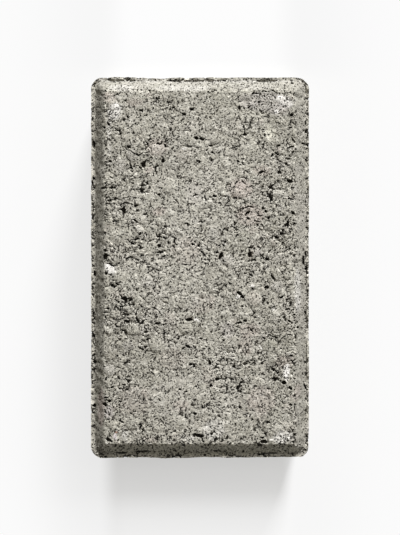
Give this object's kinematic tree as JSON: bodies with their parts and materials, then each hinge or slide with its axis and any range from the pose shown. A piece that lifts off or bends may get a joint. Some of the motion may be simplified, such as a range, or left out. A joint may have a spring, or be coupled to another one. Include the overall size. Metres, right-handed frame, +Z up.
{
  "type": "concrete paver",
  "caption": "Rectangular dry-pressed concrete paving block with a chamfered, open-textured wearing face, a narrow rim and a flat bed face.",
  "frame": {"origin": "centre of the flat bed face that the block rests on", "axes": "+Z up, towards the chamfered wearing face; Y along the long side; X along the short side"},
  "size_m": [0.12, 0.21, 0.06],
  "materials": {
    "concrete": "rough, open-textured pressed concrete"
  },
  "bodies": {
    "root": {"paver": "concrete"}
  },
  "joints": []
}
